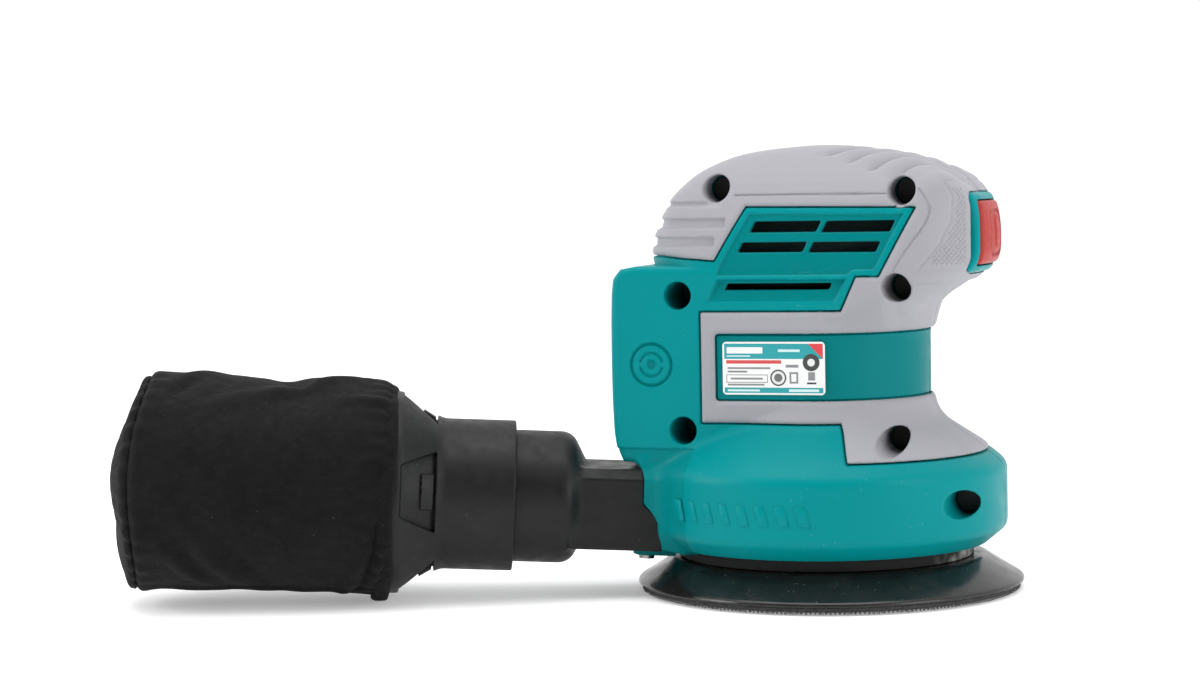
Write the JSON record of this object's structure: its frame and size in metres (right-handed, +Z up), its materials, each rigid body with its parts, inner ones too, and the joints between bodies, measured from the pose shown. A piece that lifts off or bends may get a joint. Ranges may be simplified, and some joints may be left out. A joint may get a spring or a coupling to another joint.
{
  "type": "orbital sander",
  "caption": "Battery palm sander with a round pad on an eccentric spindle, a clamshell casing, a switch, an empty battery dock and an angled dust port with a bag.",
  "frame": {"origin": "centre of the sanding face on the motor axis, on the surface that the pad rests on", "axes": "+Z up along the motor axis, +X from the battery dock to the switch, -Y to the side that the housing screws enter"},
  "size_m": [0.2881, 0.1736, 0.1428],
  "materials": {
    "teal_plastic": "satin moulded ABS/PA",
    "grey_grip": "matte soft overmould",
    "black_plastic": "satin",
    "red_rubber": "matte",
    "label": null,
    "steel": "brushed",
    "bright_steel": "ground and polished",
    "zinc": "cast",
    "aluminium": "die cast",
    "copper": "enamelled copper",
    "brass": "plain",
    "magnet": "ferrite",
    "carbon": "pressed carbon",
    "board": "solder mask",
    "wire": "wire insulation",
    "pad_rubber": "moulded, semi gloss",
    "hook": "hook fastener",
    "brake_rubber": "soft ring",
    "bag_fabric": "woven polyester",
    "bag_trim": "bias binding"
  },
  "bodies": {
    "housing": {"right_housing": "teal_plastic", "left_housing": "teal_plastic", "right_grip": "grey_grip", "left_grip": "grey_grip", "rating_label": "label", "switch_bezel": "teal_plastic", "switch_module": "black_plastic", "control_board": "board", "board_components": "black_plastic", "motor_can": "steel", "motor_magnets": "magnet", "motor_end_bell": "black_plastic", "brush_holders": "brass", "carbon_brushes": "carbon", "upper_bearing": "bright_steel", "lower_bearing": "bright_steel", "bearing_plate": "aluminium", "motor_screws": "steel", "fan_shroud": "black_plastic", "brake_ring": "brake_rubber", "battery_terminal_block": "black_plastic", "battery_terminals": "brass", "battery_leads": "wire", "motor_leads": "wire", "dust_port_adapter": "black_plastic", "port_screw": "steel", "housing_screws": "steel"},
    "spindle": {"motor_shaft": "bright_steel", "rotor_core": "steel", "armature_windings": "copper", "commutator": "copper", "fan": "black_plastic", "counterweight": "zinc", "eccentric_hub": "zinc", "pad_bearing": "bright_steel"},
    "pad": {"pad_spindle": "steel", "pad_hub_plate": "steel", "backing_pad": "pad_rubber", "hook_face": "hook", "pad_screw": "steel", "pad_washer": "steel", "plate_screws": "steel"},
    "button": {"switch_button": "red_rubber"},
    "bag": {"bag_collar": "black_plastic", "dust_bag": "bag_fabric", "bag_mouth_binding": "bag_trim", "bag_frame": "steel"}
  },
  "joints": [
    {"name": "motor_spin", "type": "hinge", "parent": "housing", "child": "spindle", "pos_m": [0, 0, 0.06], "axis": [0, 0, 1], "continuous": true},
    {"name": "pad_spin", "type": "hinge", "parent": "spindle", "child": "pad", "pos_m": [0.00125, 0, 0.01], "axis": [0, 0, 1], "continuous": true},
    {"name": "switch_press", "type": "slide", "parent": "housing", "child": "button", "axis": [-1, 0, 0], "range_m": [0, 0.002], "stiffness_N_per_m": 600},
    {"name": "bag_pull_off", "type": "slide", "parent": "housing", "child": "bag", "axis": [-0.9321, -0.3578, 0.0558], "range_m": [0, 0.04]}
  ]
}
